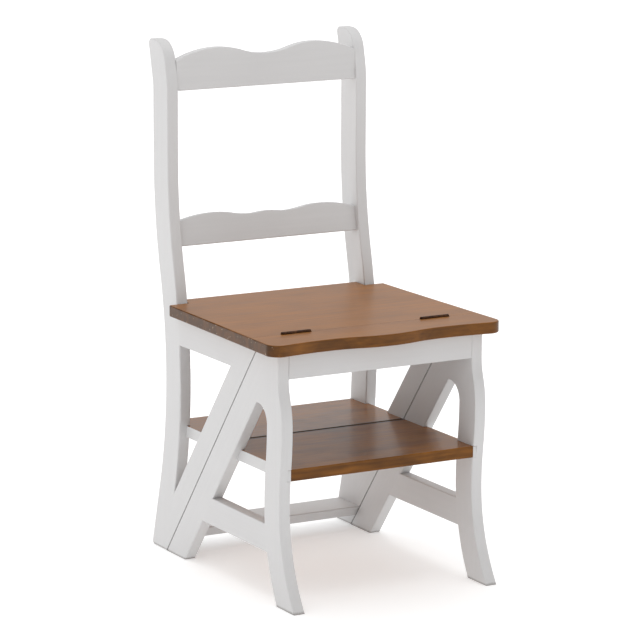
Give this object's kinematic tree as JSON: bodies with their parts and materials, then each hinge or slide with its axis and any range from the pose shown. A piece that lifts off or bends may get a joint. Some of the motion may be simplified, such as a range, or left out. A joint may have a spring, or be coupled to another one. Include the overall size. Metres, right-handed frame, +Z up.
{
  "type": "folding step chair",
  "caption": "Wooden side chair with shaped back rails and split side frames, whose back half swings over at seat hinges to make a short step ladder.",
  "frame": {"origin": "on the floor under the middle of the chair's footprint", "axes": "+Z up, +X to the right of a person who faces the chair's front, -Y to the front"},
  "size_m": [0.4442, 0.5242, 0.9],
  "materials": {
    "painted_wood": "satin off-white paint",
    "stained_seat": "brown stain, satin lacquer",
    "stained_boards": "brown stain, satin lacquer",
    "hinge_steel": "dark bronze"
  },
  "bodies": {
    "base_frame": {"front_leg_left": "painted_wood", "front_leg_right": "painted_wood", "lower_stringer_left": "painted_wood", "lower_stringer_right": "painted_wood", "lower_side_rail_left": "painted_wood", "lower_side_rail_right": "painted_wood", "front_apron": "painted_wood", "seat_front_strip": "stained_seat", "step_board_front": "stained_boards", "hinge_front_leaf_left": "hinge_steel", "hinge_front_leaf_right": "hinge_steel", "hinge_pin_left": "hinge_steel", "hinge_pin_right": "hinge_steel", "hinge_front_screws_left": "hinge_steel", "hinge_front_screws_right": "hinge_steel"},
    "back_frame": {"back_post_left": "painted_wood", "back_post_right": "painted_wood", "upper_stringer_left": "painted_wood", "upper_stringer_right": "painted_wood", "seat_side_rail_left": "painted_wood", "seat_side_rail_right": "painted_wood", "crest_rail": "painted_wood", "lower_back_rail": "painted_wood", "rear_apron": "painted_wood", "seat_board": "stained_seat", "step_board_rear": "stained_boards", "low_tread": "painted_wood", "hinge_rear_leaf_left": "hinge_steel", "hinge_rear_leaf_right": "hinge_steel", "hinge_rear_screws_left": "hinge_steel", "hinge_rear_screws_right": "hinge_steel"}
  },
  "joints": [
    {"name": "fold_over", "type": "hinge", "parent": "base_frame", "child": "back_frame", "pos_m": [0, -0.15245, 0.4503], "axis": [1, 0, 0], "range_deg": [0, 180]}
  ]
}
